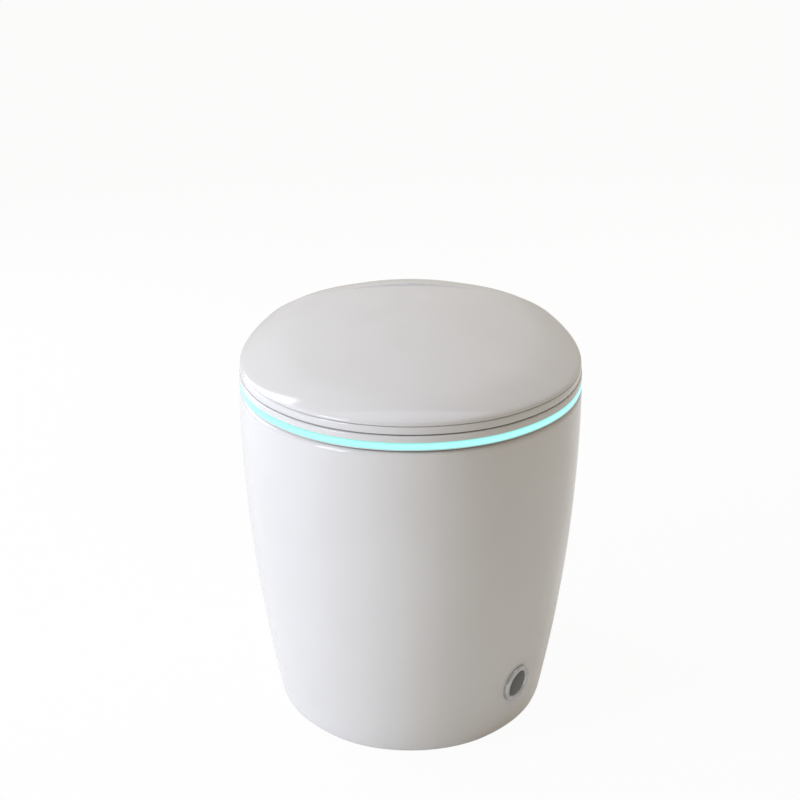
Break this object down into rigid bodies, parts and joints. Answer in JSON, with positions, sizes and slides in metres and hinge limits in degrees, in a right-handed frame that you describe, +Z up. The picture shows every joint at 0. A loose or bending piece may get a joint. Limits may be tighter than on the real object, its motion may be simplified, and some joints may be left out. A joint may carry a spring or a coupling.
{
  "type": "smart toilet with heated seat",
  "caption": "Floor-standing egg-shaped smart toilet: skirted ceramic pedestal, lit ring, heated seat, domed soft-close lid, wash wand and foot sensor.",
  "frame": {"origin": "on the floor under the middle of the plan", "axes": "+Z up, -Y towards the front where the user sits down, +X to the right seen from the front, +Y towards the wall"},
  "size_m": [0.4288, 0.6007, 0.472],
  "materials": {
    "ceramic": "glossy white glaze",
    "white_gloss": "high gloss white",
    "white_inner": "satin white",
    "light": "frosted, lit blue-green",
    "seal_grey": "matt dark",
    "bumper_grey": "soft light grey",
    "chrome": "polished",
    "lens_dark": "dark infrared window",
    "steel": "brushed",
    "brass": "turned",
    "black_plastic": "matt black",
    "grey_plastic": "satin grey",
    "board_green": "solder mask",
    "copper_foil": "etched foil"
  },
  "bodies": {
    "base": {"pedestal": "ceramic", "outlet_seal": "seal_grey", "floor_brackets": "steel", "side_screws": "steel", "side_caps": "white_gloss", "foot_sensor_bezel": "chrome", "foot_sensor_window": "lens_dark", "foot_sensor_board": "board_green", "foot_sensor_nut": "black_plastic", "shadow_gasket": "seal_grey", "light_rail": "white_gloss", "light_ring": "light", "light_strip": "copper_foil", "top_casing": "white_gloss", "service_tray": "white_inner", "nozzle_fascia": "white_gloss", "wash_guide": "grey_plastic", "fan_housing": "black_plastic", "dryer_duct": "white_inner", "heater_tank": "grey_plastic", "heater_element": "steel", "valve_block": "black_plastic", "supply_hose": "bumper_grey", "inlet_fitting": "brass", "cord_gland": "black_plastic", "power_supply": "steel", "control_board": "board_green", "flush_tank": "white_inner", "tank_cover": "white_inner", "flush_pump": "black_plastic", "jet_pipe": "grey_plastic", "hinge_bridge": "white_gloss", "seat_damper": "steel", "lid_damper": "steel", "rear_cover": "white_gloss"},
    "seat": {"seat_upper": "white_gloss", "seat_base": "white_gloss", "seat_heater": "copper_foil", "seat_bumpers": "bumper_grey", "seat_shaft": "steel", "seat_bush": "brass"},
    "lid": {"lid_shell": "white_gloss", "lid_panel": "white_gloss", "lid_shaft": "steel", "lid_bush": "brass"},
    "wand": {"wash_wand": "white_gloss", "wand_tip": "steel"},
    "dryer_flap": {"dryer_flap": "white_gloss"},
    "fan_rotor": {"fan_rotor": "grey_plastic"},
    "pump_rotor": {"pump_rotor": "grey_plastic"}
  },
  "joints": [
    {"name": "seat_hinge", "type": "hinge", "parent": "base", "child": "seat", "pos_m": [0, 0.148, 0.446], "axis": [-1, 0, 0], "range_deg": [0, 95]},
    {"name": "lid_hinge", "type": "hinge", "parent": "seat", "child": "lid", "pos_m": [0, 0.148, 0.446], "axis": [1, 0, 0], "range_deg": [-95, 0]},
    {"name": "wand_slide", "type": "slide", "parent": "base", "child": "wand", "axis": [0, -0.9397, -0.342], "range_m": [0, 0.09]},
    {"name": "dryer_flap_hinge", "type": "hinge", "parent": "base", "child": "dryer_flap", "pos_m": [-0.038, 0.057, 0.3855], "axis": [-1, 0, 0], "range_deg": [0, 70]},
    {"name": "fan_spin", "type": "hinge", "parent": "base", "child": "fan_rotor", "pos_m": [-0.076, 0.178, 0.32], "axis": [0, 0, 1], "continuous": true},
    {"name": "pump_spin", "type": "hinge", "parent": "base", "child": "pump_rotor", "pos_m": [0, 0.19, 0.085], "axis": [0, 0, 1], "continuous": true}
  ]
}
